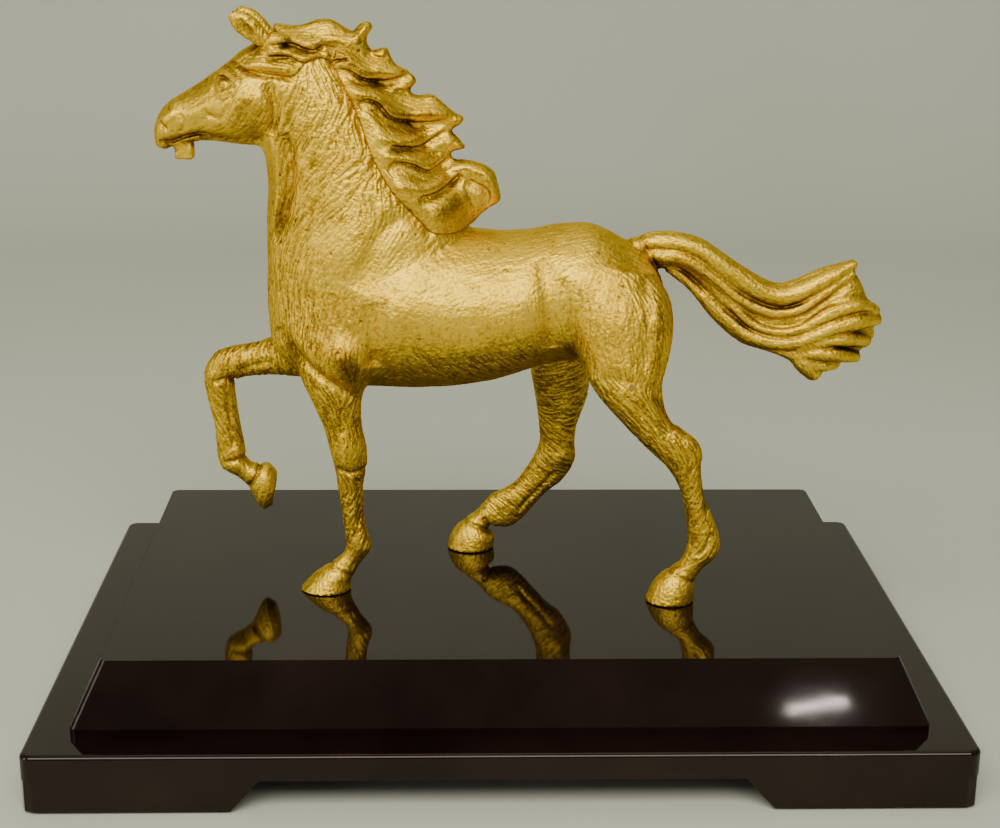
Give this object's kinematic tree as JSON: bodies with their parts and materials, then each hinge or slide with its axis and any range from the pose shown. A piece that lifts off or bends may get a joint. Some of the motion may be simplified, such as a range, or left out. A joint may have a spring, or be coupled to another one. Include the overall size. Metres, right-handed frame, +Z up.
{
  "type": "horse statuette on plinth",
  "caption": "Cast gilt bronze horse in a high-stepping walk, bolted by its standing hooves to a black lacquered stepped plinth.",
  "frame": {"origin": "on the surface it stands on, under the middle of the plinth", "axes": "+Z up; +X from the horse's head to its tail, along the plinth's long side; +Y from the horse's near (left) side to its off side"},
  "size_m": [0.3, 0.207, 0.238],
  "materials": {
    "gilt_bronze": "satin gilding, chased hair strokes, brown tarnish in the hollows",
    "brass_pin": "plain drawn rod",
    "zinc_steel": "bright zinc plate",
    "pad_rubber": "matt black",
    "black_lacquer": "black-brown polished lacquer over wood",
    "bare_wood": "sawn softwood",
    "felt": "dense black felt"
  },
  "bodies": {
    "root": {"torso_casting": "gilt_bronze", "neck_and_head_casting": "gilt_bronze", "mane_casting": "gilt_bronze", "tail_casting": "gilt_bronze", "near_foreleg_casting": "gilt_bronze", "off_foreleg_casting": "gilt_bronze", "near_hindleg_casting": "gilt_bronze", "off_hindleg_casting": "gilt_bronze", "neck_joint_pins": "brass_pin", "mane_joint_pins": "brass_pin", "tail_joint_pin": "brass_pin", "foreleg_joint_pins": "brass_pin", "hindleg_joint_pins": "brass_pin", "hoof_studs": "zinc_steel", "stud_washers": "zinc_steel", "stud_nuts": "zinc_steel", "base_screws": "zinc_steel", "hoof_pads": "pad_rubber", "plinth_block": "black_lacquer", "base_board": "black_lacquer", "foot_rail_front_left_long": "black_lacquer", "foot_rail_front_left_short": "black_lacquer", "corner_block_front_left": "bare_wood", "felt_pad_front_left": "felt", "foot_rail_front_right_long": "black_lacquer", "foot_rail_front_right_short": "black_lacquer", "corner_block_front_right": "bare_wood", "felt_pad_front_right": "felt", "foot_rail_back_left_long": "black_lacquer", "foot_rail_back_left_short": "black_lacquer", "corner_block_back_left": "bare_wood", "felt_pad_back_left": "felt", "foot_rail_back_right_long": "black_lacquer", "foot_rail_back_right_short": "black_lacquer", "corner_block_back_right": "bare_wood", "felt_pad_back_right": "felt"}
  },
  "joints": []
}
